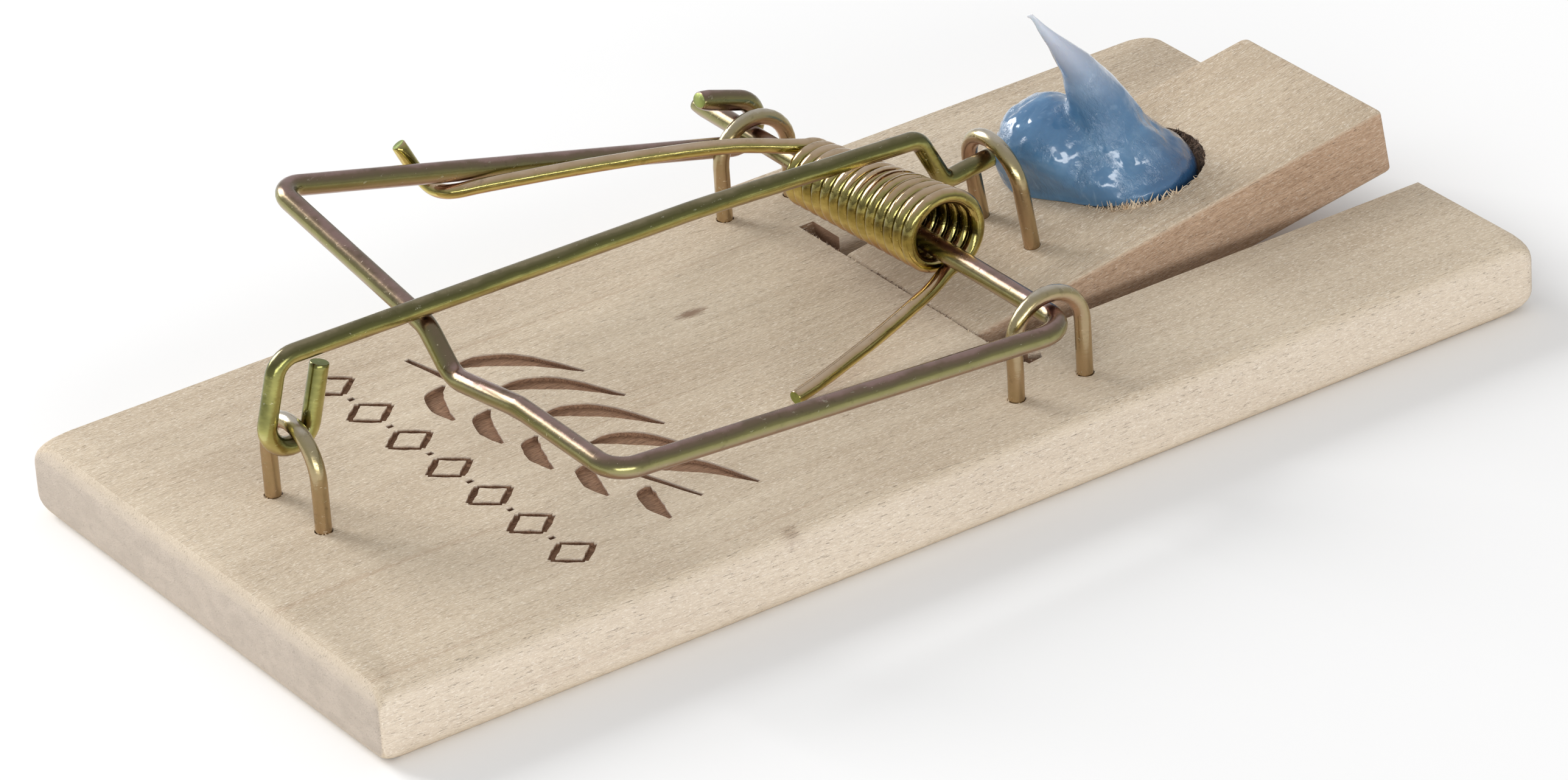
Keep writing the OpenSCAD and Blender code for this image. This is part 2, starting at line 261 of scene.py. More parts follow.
def plated(name, stops, rough, noise_size=0.25, spread=0.3, scuffs=0.35):
    """Yellow-passivated zinc with painted reflections and shade: its tint runs from the underside's to the top's,
    broken up along the wire.
    """
    s = Shader(name, rough=rough, metallic=1.0)
    # painted light: the tint follows how far the surface faces up, so its bands stand in for reflections and shade
    up = s.split(s.coords.outputs["Normal"])[2]
    cloud = s.noise(s.stretch((noise_size,) * 3), detail=3)
    fine = s.noise(s.stretch((1.2, 1.2, 3.0), (4, 2, 0)), detail=3)
    value = s.math("MULTIPLY_ADD", up, 0.5, 0.5)
    value = s.math("ADD", value, s.math("MULTIPLY", s.math("SUBTRACT", cloud, 0.5), spread))
    value = s.math("ADD", value, s.math("MULTIPLY", s.math("SUBTRACT", fine, 0.5), spread * 0.35))
    colour = s.ramp(value, stops)
    marks = s.between(s.noise(s.stretch((1.6, 3.2, 3.2), (1, 8, 3)), detail=4, rough=0.7), 0.64, 0.7)
    colour = s.mix(s.math("MULTIPLY", marks, scuffs), colour, srgb(206, 204, 186))
    grime = s.between(s.noise(s.stretch((0.9, 0.9, 0.9), (6, 1, 7)), detail=4, rough=0.7), 0.58, 0.72)
    colour = s.mix(s.math("MULTIPLY", grime, 0.25), colour, srgb(66, 58, 36))
    uneven = s.math("MULTIPLY_ADD", fine, 0.12, rough - 0.04)
    s.put(s.bsdf.inputs["Roughness"], s.math("MULTIPLY_ADD", marks, 0.25, uneven))
    s.bump((fine, 0.012), (marks, 0.006))
    return s.finish(colour)


def gel_material():
    """Cloudy blue gel with a wet coat: darker towards the hole, paler towards the tip."""
    s = Shader("blue_gel", rough=0.16)
    x, y, z = s.split(s.mm)
    for key, value in (("Coat Weight", 0.8), ("Coat Roughness", 0.03), ("Subsurface Weight", 0.3),
                       ("Subsurface Scale", 0.002), ("Subsurface Radius", (0.4, 0.8, 1.2)), ("IOR", 1.4)):
        s.bsdf.inputs[key].default_value = value
    cloud = s.noise(s.stretch((0.22, 0.3, 0.3)), detail=4, rough=0.6, distortion=0.8)
    wisps = s.noise(s.stretch((0.5, 1.1, 0.35), (3, 0, 0)), detail=4, distortion=1.6)
    colour = s.ramp(cloud, [(0.25, srgb(64, 104, 141)), (0.55, srgb(80, 121, 157)), (0.8, srgb(106, 145, 178))])
    colour = s.mix(s.math("MULTIPLY", s.between(wisps, 0.55, 0.75), 0.35), colour, srgb(130, 160, 188))
    # darker low down over the hole
    low_over_hole = s.math("MULTIPLY", s.between(x, 27, 33), s.between(z, 13.5, 9.5))
    colour = s.mix(s.math("MULTIPLY", low_over_hole, 0.75), colour, srgb(38, 74, 114))
    colour = s.mix(s.between(z, 14.0, 23.0), colour, srgb(196, 198, 208))
    lean = s.math("MULTIPLY_ADD", z, 0.45, x)
    streak = s.node("CombineXYZ", {0: s.math("MULTIPLY", lean, 3.4), 1: s.math("MULTIPLY", y, 3.4),
                                   2: s.math("MULTIPLY", z, 1.5)})
    ripples = s.noise(streak.outputs[0], detail=4, rough=0.7, distortion=0.4)
    blobs = s.noise(s.stretch((1.1, 1.1, 0.7), (0, 5, 0)), detail=2, rough=0.5)
    patchy = s.between(s.noise(s.stretch((0.35, 0.35, 0.35), (2, 2, 9)), detail=2), 0.4, 0.62)
    s.bump((blobs, 0.04), (s.math("MULTIPLY", ripples, patchy), 0.13))
    return s.finish(colour)


def plain_fibre(name, colour, pale):
    """Torn wood fibre, mottled from colour to pale."""
    s = Shader(name, rough=0.85)
    patch = s.noise(s.stretch((2.0, 2.0, 2.0)), detail=3)
    s.bump((patch, 0.02))
    return s.finish(s.ramp(patch, [(0.35, colour), (0.7, pale)]))


# knots, and two broad faint darker patches, in the board: centre, size and strength
BOARD_KNOTS = [
    ((-3.2, 7.8, 5.6), (1.9, 0.75, 2.0), 0.75),
    ((-15.6, -23.1, 5.6), (1.3, 1.4, 1.6), 0.7),
    ((11.2, -13.2, 5.6), (1.2, 0.8, 1.6), 0.8),
    ((-2.0, -6.5, 5.6), (7.0, 2.2, 2.0), 0.1),
    ((-38.0, 10.0, 5.6), (9.0, 5.0, 2.0), 0.08),
]
mat_board = wood("board_wood", srgb(174, 153, 128), srgb(229, 214, 191), srgb(191, 178, 164), BOARD_KNOTS,
                 burnt=True, side=0.35)
mat_paddle = wood("paddle_wood", srgb(168, 146, 121), srgb(223, 206, 181), srgb(190, 170, 150), shift=40.0,
                  tilt=TILT)
mat_sawn = wood("sawn_wood", srgb(142, 112, 87), srgb(212, 183, 156), srgb(176, 148, 126), shift=15.0,
                tilt=TILT, pale=0.25)
# painted shade: the saw cut's faces get this darker wood so that the narrow cut reads dark
mat_kerf_shade = wood("kerf_shaded_wood", srgb(104, 78, 58), srgb(176, 144, 116), srgb(150, 118, 94), shift=63.0)
# tints of the plated wires, with painted reflections and shade in their bands, from the underside's at 0 to the
# top's at 1
OLIVE_TINT_AND_PAINTED_LIGHT = [
    (0.0, srgb(140, 112, 96)), (0.2, srgb(170, 148, 110)), (0.36, srgb(208, 200, 138)), (0.5, srgb(176, 172, 104)),
    (0.64, srgb(112, 112, 66)), (0.8, srgb(96, 94, 60)), (0.93, srgb(116, 110, 80)), (1.0, srgb(146, 136, 108)),
]
HAMMER_TINT_AND_PAINTED_LIGHT = [
    (0.0, srgb(144, 116, 106)), (0.2, srgb(160, 132, 116)), (0.36, srgb(176, 158, 126)), (0.5, srgb(156, 150, 104)),
    (0.64, srgb(134, 130, 86)), (0.8, srgb(116, 106, 82)), (0.92, srgb(126, 108, 92)), (1.0, srgb(158, 132, 126)),
]
GOLD_TINT_AND_PAINTED_LIGHT = [
    (0.0, srgb(150, 104, 96)), (0.2, srgb(192, 154, 108)), (0.36, srgb(224, 208, 134)), (0.5, srgb(172, 158, 88)),
    (0.62, srgb(108, 99, 58)), (0.74, srgb(158, 150, 92)), (0.86, srgb(186, 160, 126)), (1.0, srgb(206, 184, 158)),
]
BRONZE_TINT_AND_PAINTED_LIGHT = [
    (0.0, srgb(176, 142, 124)), (0.3, srgb(190, 158, 134)), (0.5, srgb(184, 162, 128)), (0.7, srgb(162, 150, 110)),
    (0.88, srgb(170, 158, 130)), (1.0, srgb(204, 196, 182)),
]
mat_lock = plated("lock_zinc", OLIVE_TINT_AND_PAINTED_LIGHT, rough=0.2)
mat_hammer = plated("hammer_zinc", HAMMER_TINT_AND_PAINTED_LIGHT, rough=0.22)
mat_spring = plated("spring_zinc", GOLD_TINT_AND_PAINTED_LIGHT, rough=0.12, noise_size=0.45, spread=0.35, scuffs=0.1)
mat_staple = plated("staple_zinc", BRONZE_TINT_AND_PAINTED_LIGHT, rough=0.22, noise_size=0.3, spread=0.3)
# the cut ends and the pin take their tint by facing as well, so their lighter and darker faces are painted light
mat_cut = plated("cut_zinc", [(0.0, srgb(110, 120, 60)), (0.5, srgb(150, 160, 90)), (1.0, srgb(120, 130, 80))],
                 rough=0.4)
mat_pin = plated("pin_steel", [(0.0, srgb(150, 150, 146)), (1.0, srgb(196, 196, 190))], rough=0.3, scuffs=0.2)
mat_gel = gel_material()
mat_fibre = plain_fibre("torn_fibre", srgb(196, 168, 134), srgb(236, 222, 198))
# partly painted shade: this dark fibre, on the bait hole's wall, round its rim and in the saw cut, stands for torn
# fibre and the shade in these hollows
mat_shaded_dark_fibre = plain_fibre("shaded_dark_fibre", srgb(64, 50, 42), srgb(138, 112, 92))


# ---------------------------------------------------------------- mesh helpers
def mesh_object(name, verts, faces, materials, smooth=True, sharp=40):
    """Object from vertices in millimetres, outward faces, smooth apart from edges sharper than the given angle."""
    data = bpy.data.meshes.new(name)
    data.from_pydata([tuple(v) for v in np.asarray(verts, float) * MM], [], faces)
    bm = bmesh.new()
    bm.from_mesh(data)
    bmesh.ops.recalc_face_normals(bm, faces=bm.faces)
    bm.to_mesh(data)
    bm.free()
    return dress(name, data, materials, smooth, sharp)


def dress(name, data, materials, smooth=True, sharp=40):
    """Object with the mesh and the materials, shaded smooth apart from edges sharper than the given angle."""
    obj = bpy.data.objects.new(name, data)
    scene.collection.objects.link(obj)
    for m in materials if isinstance(materials, (list, tuple)) else [materials]:
        data.materials.append(m)
    if smooth:
        data.polygons.foreach_set("use_smooth", [True] * len(data.polygons))
        data.set_sharp_from_angle(angle=math.radians(sharp))
    return obj


def unit(v):
    return v / np.linalg.norm(v)


def fillet(corners, radii, step=0.35):
    """Points along the corners, each rounded to its radius, about a step apart on the bends."""
    pts = [np.array(c, float) for c in corners]
    line = [pts[0]]
    for i in range(1, len(pts) - 1):
        u, v = unit(pts[i] - pts[i - 1]), unit(pts[i + 1] - pts[i])
        angle = math.acos(np.clip(u @ v, -1, 1))
        r = radii[i]
        if r <= 0 or angle < 1e-3:
            line.append(pts[i])
            continue
        back = r * math.tan(angle / 2)
        start, side = pts[i] - u * back, unit(v - (u @ v) * u)
        mid = start + side * r
        n = max(4, int(r * angle / step) + 1, int(angle / 0.16))
        for k in range(n + 1):
            a = angle * k / n
            line.append(mid + r * (math.sin(a) * u - math.cos(a) * side))
    line.append(pts[-1])
    return spaced(line)


def spaced(line, longest=1.6):
    """Adds points so that none are further apart than longest."""
    out = [line[0]]
    for a, b in zip(line[:-1], line[1:]):
        d = np.linalg.norm(b - a)
        if d < 1e-4:
            continue
        n = max(1, int(math.ceil(d / longest)))
        out += [a + (b - a) * k / n for k in range(1, n + 1)]
    return out


def smooth_line(points, per):
    """Catmull-Rom curve through the points, with per points to each stretch."""
    p = [np.array(q, float) for q in points]
    p = [2 * p[0] - p[1]] + p + [2 * p[-1] - p[-2]]
    out = []
    for a, b, c, d in zip(p[:-3], p[1:-2], p[2:-1], p[3:]):
        for k in range(per):
            t = k / per
            out.append(0.5 * (2 * b + (c - a) * t + (2 * a - 5 * b + 4 * c - d) * t * t
                              + (3 * b - a - 3 * c + d) * t ** 3))
    out.append(p[-2])
    return out


def frames(line):
    """Tangent and two square directions at each point, turning as little as possible along the line."""
    line = np.array(line)
    tangents = np.gradient(line, axis=0)
    tangents /= np.linalg.norm(tangents, axis=1)[:, None]
    side = np.cross(tangents[0], [0.0, 0.02, 1.0])
    if np.linalg.norm(side) < 1e-3:
        side = np.cross(tangents[0], [0.0, 1.0, 0.0])
    side = unit(side)
    sides = []
    for t in tangents:
        side = unit(side - (side @ t) * t)
        sides.append(side)
    return tangents, np.array(sides), np.cross(tangents, np.array(sides))


def ring_faces(rings, n, base=0):
    """Quads that join rings of n points, each ring to the next, with their first point at index base."""
    faces = []
    for i in range(rings - 1):
        for k in range(n):
            m = (k + 1) % n
            faces.append((base + i * n + k, base + i * n + m, base + (i + 1) * n + m, base + (i + 1) * n + k))
    return faces


BEVEL, BEVEL_SHARE = 0.05, 0.93  # length of the bevel at a wire's end, and what it leaves of the width
PINCH, PINCH_SHARE = 0.7, 0.72  # the same for an end that the cutter squeezed flat


def wire(name, line, d, material, sides=20, ends=("cut", "cut"), wobble=0.006):
    """Round wire swept along the line. Each end has a small bevel, and a pinched end is squeezed flat as well."""
    line = [np.array(p, float) for p in line]
    for last in (False, True):  # extra rings close to each end, for its bevel and pinch
        if last:
            line.reverse()
        a, b = line[0], line[1]
        inner = [a + unit(b - a) * s for s in (0.0, 0.06, 0.35, 0.8) if s < np.linalg.norm(b - a) * 0.9]
        line = inner + line[1:]
        if last:
            line.reverse()
    _, u, v = frames(line)
    length = np.concatenate([[0], np.cumsum(np.linalg.norm(np.diff(np.array(line), axis=0), axis=1))])
    verts = []
    n = len(line)
    for i, p in enumerate(line):
        for k in range(sides):
            a = 2 * math.pi * k / sides
            r = d / 2 * (1 + wobble * noise.noise(Vector(p * 0.6 + k * 0.31)))
            x, y = math.cos(a), math.sin(a)
            for away, kind in ((length[i], ends[0]), (length[-1] - length[i], ends[1])):
                if kind == "pinched" and away < PINCH:
                    y *= PINCH_SHARE + 0.28 * (away / PINCH) ** 0.6
                if away < BEVEL:
                    x, y = x * BEVEL_SHARE, y * BEVEL_SHARE
            verts.append(p + r * (x * u[i] + y * v[i]))
    faces = ring_faces(n, sides)
    faces.append(tuple(range(sides)))
    faces.append(tuple(range((n - 1) * sides, n * sides)))
    obj = mesh_object(name, verts, faces, [material, mat_cut], sharp=50)
    for i in (len(faces) - 2, len(faces) - 1):
        obj.data.polygons[i].material_index = 1
    return obj


def place(obj, body, node, slot):
    """Makes the object a piece that rides the body and stands for the CAD's node."""
    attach(obj, body)
    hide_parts(node)


def rounded_slab(x0, x1, y0, y1, z0, z1, edge, rise, corners, steps=6, round_steps=10):
    """Slab with softened edges, inset by edge over a height of rise.

    corners lists, from (+x, +y) anticlockwise, the radius of each upright corner at mid height and at the top and
    bottom faces.
    """
    levels = [(z0 + z, edge * (z - rise) ** 2 / rise ** 2) for z in np.linspace(0, rise, steps + 1)]
    levels = [(z, inset * (0.45 + 0.55 * inset / edge)) for z, inset in levels]
    levels += [(z0 + z1 - z, inset) for z, inset in levels[::-1]]
    verts = []
    for z, inset in levels:
        share = inset / edge
        for (sx, sy, start), (r0, r1) in zip(((1, 1, 0), (-1, 1, 90), (-1, -1, 180), (1, -1, 270)), corners):
            r = r0 + (r1 - r0) * share
            cx = (x1 if sx > 0 else x0) - sx * (inset + r)
            cy = (y1 if sy > 0 else y0) - sy * (inset + r)
            for k in range(round_steps + 1):
                a = math.radians(start + 90 * k / round_steps)
                verts.append((cx + r * math.cos(a), cy + r * math.sin(a), z))
    n = 4 * (round_steps + 1)
    faces = ring_faces(len(levels), n)
    faces.append(tuple(range(n))[::-1])
    faces.append(tuple(range((len(levels) - 1) * n, len(levels) * n)))
    return verts, faces


def prism(outline, z0, z1):
    """Closed upright prism on the outline."""
    n = len(outline)
    verts = [(x, y, z0) for x, y in outline] + [(x, y, z1) for x, y in outline]
    faces = [tuple(range(n))[::-1], tuple(range(n, 2 * n))]
    faces += [(k, (k + 1) % n, n + (k + 1) % n, n + k) for k in range(n)]
    return verts, faces


def cylinder(centre, axis, r, h, sides=32, jitter=None):
    """Closed cylinder from centre along axis.

    jitter(angle, end), where end is 0 at the centre's end and 1 at the other, is added to the radius.
    """
    w = unit(np.array(axis, float))
    u = unit(np.cross(w, [0.3, 1, 0.2]))
    v = np.cross(w, u)
    verts, faces = [], []
    for i in (0, 1):
        for k in range(sides):
            a = 2 * math.pi * k / sides
            rr = r + (jitter(a, i) if jitter else 0)
            verts.append(np.array(centre, float) + w * h * i + rr * (math.cos(a) * u + math.sin(a) * v))
    faces += [(k, (k + 1) % sides, sides + (k + 1) % sides, sides + k) for k in range(sides)]
    if jitter:  # an uneven wall's quads aren't flat, and the boolean tears the mesh on such faces
        faces = [t for a, b, c, d in faces for t in ((a, b, c), (a, c, d))]
    faces += [tuple(range(sides))[::-1], tuple(range(sides, 2 * sides))]
    return verts, faces


def cut(data, cutters):
    """data less each (verts, faces) solid, one at a time, by Blender's exact boolean."""
    obj = bpy.data.objects.new("cutting", data)
    scene.collection.objects.link(obj)
    for verts, faces in cutters:
        tool = mesh_object("tool", verts, faces, [], smooth=False)
        m = obj.modifiers.new("cut", "BOOLEAN")
        m.operation, m.solver, m.object = "DIFFERENCE", "EXACT", tool
        dg = bpy.context.evaluated_depsgraph_get()
        made = bpy.data.meshes.new_from_object(obj.evaluated_get(dg))
        obj.modifiers.clear()
        obj.data = made
        bpy.data.objects.remove(tool)
    made = obj.data
    bpy.data.objects.remove(obj)
    made.materials.clear()
    return made


def plain_mesh(verts, faces):
    """Mesh alone, without an object or materials."""
    tool = mesh_object("tool", verts, faces, [], smooth=False)
    data = tool.data
    bpy.data.objects.remove(tool)
    return data


def on_paddle(u, v, w):
    """Point of the tilted paddle, from its own axes at the hinge."""
    return np.array(to_paddle @ Vector((u, v, w)))


# ---------------------------------------------------------------- board
ENGRAVING_DEPTH = 0.42
DIAMOND_X = -28.5  # the row of diamonds


def stroke(points, widths, per=5, seed=0.0):
    """Ragged engraved stroke along the points, as a prism that reaches below the board's top."""
    line = smooth_line([(*p, 0) for p in points], per)
    t = np.linspace(0, 1, len(line))
    w = np.interp(t, np.linspace(0, 1, len(widths)), widths)
    left, right = [], []
    for i, p in enumerate(line):
        d = unit(line[min(i + 1, len(line) - 1)] - line[max(i - 1, 0)])
        side = np.array([-d[1], d[0], 0])
        rag = [0.07 * noise.noise(Vector((p[0] * 2.3 + seed, p[1] * 2.3, k))) for k in (0, 9)]
        left.append((p + side * (w[i] / 2 + rag[0]))[:2])
        right.append((p - side * (w[i] / 2 + rag[1]))[:2])
    return prism(left + right[::-1], BOARD_T - ENGRAVING_DEPTH, BOARD_T + 1)


def engraving():
    """A generic leafy sprig over a row of small diamonds, drawn across the board."""
    stem = [(-22.4, 15.4), (-21.2, 8.5), (-20.6, 1.0), (-19.6, -7.0), (-17.4, -14.6)]
    cuts = [stroke(stem, [0.4, 0.85, 0.95, 0.75, 0.35])]
    line = smooth_line([(*q, 0) for q in stem], 10)
    for i in range(5):
        k = 1.0 - 0.07 * i  # the leaves get smaller along the stem
        x, y, _ = line[4 + i * 7]
        leaf = [(x + 0.9, y - 0.3), (x + 3.6 * k, y - 1.0), (x + 6.0 * k, y - 3.2), (x + 8.2 * k, y - 7.0)]
        cuts.append(stroke(leaf, [0.35, 1.7, 2.0, 1.2, 0.3], seed=i * 3.1))
        x, y, _ = line[7 + i * 7]
        leaf = [(x - 0.9, y - 0.2), (x - 2.2 * k, y - 1.0), (x - 3.0 * k, y - 3.0), (x - 3.1 * k, y - 5.0)]
        cuts.append(stroke(leaf, [0.35, 1.4, 1.3, 0.3], seed=9 + i * 2.3))
    for i in range(7):
        y = 15.6 - i * 5.15
        for k in range(4):
            a, b = math.radians(90 * k), math.radians(90 * k + 90)
            ends = [(DIAMOND_X + 1.75 * math.cos(t), y + 1.6 * math.sin(t)) for t in (a, b)]
            mid = [(p + q) / 2 for p, q in zip(*ends)]
            cuts.append(stroke([ends[0], mid, ends[1]], [0.45, 0.6, 0.45], seed=i * 5 + k))
        if i < 6:
            cuts.append(stroke([(DIAMOND_X, y - 2.35), (DIAMOND_X, y - 2.85)], [0.5, 0.5], per=3, seed=i))
    return cuts


def staple_legs():
    """(x, y) of every leg in the board."""
    legs = [(AXLE_STAPLE_X + s * AXLE_STAPLE_W / 2, y) for y in (NEAR_STAPLE_Y, FAR_STAPLE_Y) for s in (-1, 1)]
    x, y = FRONT_STAPLE
    return legs + [(x, y + s * FRONT_STAPLE_W / 2) for s in (-1, 1)]


def leg_hole(x, y, top, jitter=None):
    return cylinder((x, y, top - LEG_HOLE_DEPTH), (0, 0, 1), LEG_HOLE_R, 6, 24, jitter)


def build_board():
    verts, faces = rounded_slab(-BOARD_X, BOARD_X, -BOARD_Y, BOARD_Y, 0, BOARD_T, 0.8, 1.7,
                                [(0.9, 2.1), (1.1, 2.3), (0.4, 1.2), (1.1, 2.4)])
    body = plain_mesh(verts, faces)
    x = KERF_X + KERF_W / 2
    slot = [(x, -SLOT_Y), (60, -SLOT_Y), (60, SLOT_Y), (x, SLOT_Y)]
    cutters = [prism(slot, -1, BOARD_T + 1), cylinder((KERF_X, 0, SAW_Z), (1, 0, 0), SAW_R, KERF_W, 128)]
    cutters.append(cylinder((HINGE[0], -15.8, HINGE[2]), (0, 1, 0), 0.57, 46, 24))
    for i, (x, y) in enumerate(staple_legs()):

        def worn(a, end, i=i):
            return end * 0.07 * (1 + noise.noise(Vector((3 * math.cos(a), 3 * math.sin(a), i))))

        cutters.append(leg_hole(x, y, BOARD_T, worn))
    notch = [(10.6, -14.1), (11.9, -13.9), (12.2, -13.2), (11.5, -12.7), (10.5, -13.1)]
    cutters.append(prism(notch, BOARD_T - 0.5, BOARD_T + 1))
    data = cut(body, cutters + engraving())
    obj = dress("board", data, [mat_board, mat_kerf_shade], sharp=35)
    for p in data.polygons:
        c = Vector(p.center) / MM
        if 10.2 < c.x < 11.6 and abs(c.y) < 13.9 and 0.1 < c.z < 5.55:  # the saw cut's own faces, in the darker wood that paints the shade in the cut
            p.material_index = 1
    place(obj, "base", "base_board", "wood")


# ---------------------------------------------------------------- paddle
def build_paddle():
    verts, faces = rounded_slab(-1.8, 35.2, PADDLE_Y - PADDLE_HALF, PADDLE_Y + PADDLE_HALF,
                                -PADDLE_T / 2, PADDLE_T / 2, 0.24, 0.35,
                                [(0.35, 0.7), (0.3, 0.4), (0.3, 0.4), (0.35, 0.6)], steps=4)
    body = plain_mesh(verts, faces)
    u, v, r = HOLE

    def ragged(a, end):
        return end * 0.14 * noise.noise(Vector((math.cos(a) * 9, math.sin(a) * 9, 2)))

    cutters = [cylinder((u, v, PADDLE_T / 2 - 4), (0, 0, 1), r, 5, 160, ragged)]
    x, y = PADDLE_STAPLE
    for s in (-1, 1):
        cutters.append(leg_hole(x, y + s * PADDLE_STAPLE_W / 2, PADDLE_T / 2))
    cutters.append(cylinder((0, -20, 0), (0, 1, 0), 0.6, 40, 24))
    data = cut(body, cutters)
    data.transform(Matrix.Translation([c * MM for c in HINGE]) @ Matrix.Rotation(-TILT, 4, "Y"))
    obj = dress("paddle", data, [mat_paddle, mat_sawn, mat_shaded_dark_fibre], sharp=35)
    for p in data.polygons:
        c = from_paddle @ (Vector(p.center) / MM)
        n = from_paddle.to_3x3() @ p.normal
        inside = math.hypot(c.x - u, c.y - v) < r + 0.3 and abs(n.z) < 0.5  # the bait hole's wall, in dark fibre that partly paints the shade in the hole
        p.material_index = 2 if inside else (1 if abs(n.y) > 0.7 or (n.z < -0.5) else 0)
    place(obj, "paddle", "trigger_paddle", "wood")


STRAND_RINGS = 6


def strands(name, roots, material, body):
    """Tapered torn fibres as one piece, each from (root, direction, length, width)."""
    verts, faces = [], []
    for root, direction, length, width in roots:
        d = unit(np.array(direction, float))
        curl = unit(np.cross(d, [rng.uniform(-1, 1), rng.uniform(-1, 1), rng.uniform(-1, 1)]))
        line, p = [], np.array(root, float) - d * 0.15
        for _ in range(STRAND_RINGS):
            line.append(p.copy())
            d = unit(d + curl * rng.uniform(0.05, 0.45))
            p = p + d * length / 5
        _, u, v = frames(line)
        base = len(verts)
        for i, q in enumerate(line):
            w = width * (1 - (i / 5) ** 2 * 0.85) / 2
            for k in range(4):
                a = math.pi / 2 * k
                verts.append(q + w * math.cos(a) * u[i] + 0.45 * w * math.sin(a) * v[i])
        faces += ring_faces(STRAND_RINGS, 4, base)
        faces.append((base, base + 1, base + 2, base + 3))
        faces.append((base + 20, base + 21, base + 22, base + 23))
    obj = mesh_object(name, verts, faces, material, sharp=60)
    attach(obj, body)


def build_fibres():
    """Torn fibres round the bait hole, fuzz in the saw cut, and splinters at the staples and the cut's edge."""
    u0, v0, r = HOLE
    pale, dark = [], []
    for _ in range(210):
        a = math.radians(rng.gauss(-122, 25))
        rr = r + rng.uniform(-0.12, 0.16)
        root = on_paddle(u0 + rr * math.cos(a), v0 + rr * math.sin(a), PADDLE_T / 2 - 0.02)
        out = rng.uniform(-0.9, 0.5)
        d = np.array([math.cos(a) * out + rng.uniform(-0.7, 0.7), math.sin(a) * out, rng.uniform(0.05, 0.5)])
        pale.append((root, d, rng.uniform(0.3, 1.05), rng.uniform(0.07, 0.18)))
    for _ in range(380):
        a = math.radians(rng.uniform(-42, 95))
        root = on_paddle(u0 + r * math.cos(a), v0 + r * math.sin(a), PADDLE_T / 2 - rng.uniform(0.0, 0.9))
        d = np.array([-math.cos(a) * 0.7 + rng.uniform(-0.4, 0.4), -math.sin(a) * 0.7 + rng.uniform(-0.4, 0.4),
                      rng.uniform(-0.2, 0.6)])
        dark.append((root, d, rng.uniform(0.25, 0.8), rng.uniform(0.06, 0.13)))
    strands("rim_fibres", pale, mat_fibre, "paddle")
    # the fuzz inside the hole is dark fibre, partly painted shade
    strands("rim_fuzz", dark, mat_shaded_dark_fibre, "paddle")
    # dark fuzz in the saw cut, partly painted shade in the narrow cut
    fuzz = []
    for _ in range(200):
        y = rng.uniform(-10.3, 13.4)
        root = np.array([KERF_X + rng.uniform(-0.02, 0.12), y, BOARD_T - rng.uniform(0.0, 0.12)])
        d = np.array([rng.uniform(-0.5, 1), rng.uniform(-1, 1), rng.uniform(-0.1, 0.15)])
        fuzz.append((root, d, rng.uniform(0.1, 0.34), rng.uniform(0.06, 0.14)))
    strands("kerf_fuzz", fuzz, mat_shaded_dark_fibre, "base")
    chips = []
    for lx, ly in staple_legs():
        for _ in range(9):
            a = rng.uniform(0, 2 * math.pi)
            root = np.array([lx + 0.66 * math.cos(a), ly + 0.66 * math.sin(a), BOARD_T])
            d = np.array([math.cos(a) + rng.choice((-1, 1)) * 0.9, math.sin(a) * 0.6, rng.uniform(0.1, 0.5)])
            chips.append((root, d, rng.uniform(0.15, 0.42), rng.uniform(0.07, 0.16)))
    for _ in range(70):
        y = rng.uniform(-13.4, 13.4)
        if abs(y) <= 10.3:
            rng.random()  # not used: it keeps the draws after it, and so the splinters, as they are
        root = np.array([KERF_X, y, BOARD_T])
        d = np.array([rng.uniform(0.2, 1), rng.uniform(-0.8, 0.8), rng.uniform(0, 0.3)])
        chips.append((root, d, rng.uniform(0.1, 0.3), rng.uniform(0.05, 0.12)))
    strands("splinters", chips, mat_fibre, "base")


# ---------------------------------------------------------------- wires
def build_hammer():
    """One wire: axle, near arm, stepped crossbar, far arm, and the hook round the axle's far end."""
    far = np.array([-28.4, FAR_ARM_Y, 19.2])
    hook_r, lift, tail_length = 1.8, math.radians(18), 3.6
    eye = np.array([AXLE[0], FAR_ARM_Y, AXLE[2] + 0.09])
    span = eye - far
    angle = math.atan2(span[2], span[0]) - math.asin(hook_r / math.hypot(span[0], span[2]))
    reach = math.sqrt(span[0] ** 2 + span[2] ** 2 - hook_r ** 2)
    arm_end = far + reach * np.array([math.cos(angle), 0, math.sin(angle)])
    line = fillet(
        [(AXLE[0], AXLE_END_Y, AXLE[2]), (AXLE[0], NEAR_ARM_Y, AXLE[2]), (-27.8, NEAR_ARM_Y, 13.6), (-28, -9.1, 14),
         (-28.1, -0.9, 12.9), (-28.25, 1.9, 15.95), far, arm_end],
        [0, 2.7, 1.9, 3, 2.2, 2, 1.9, 0],
    )
    first, last = angle - math.pi / 2, math.pi / 2 - lift
    for k in range(1, 17):
        a = first + (last - first) * k / 16
        line.append(eye + hook_r * np.array([math.cos(a), 0, math.sin(a)]))
    tail = line[-1] + tail_length * np.array([-math.cos(lift), 0, math.sin(lift)])
    line += spaced([line[-1], tail])[1:]
    obj = wire("hammer", line, HAMMER_D, mat_hammer, 24, ("pinched", "pinched"))
    place(obj, "hammer", "hammer_bar", "bar_wire")


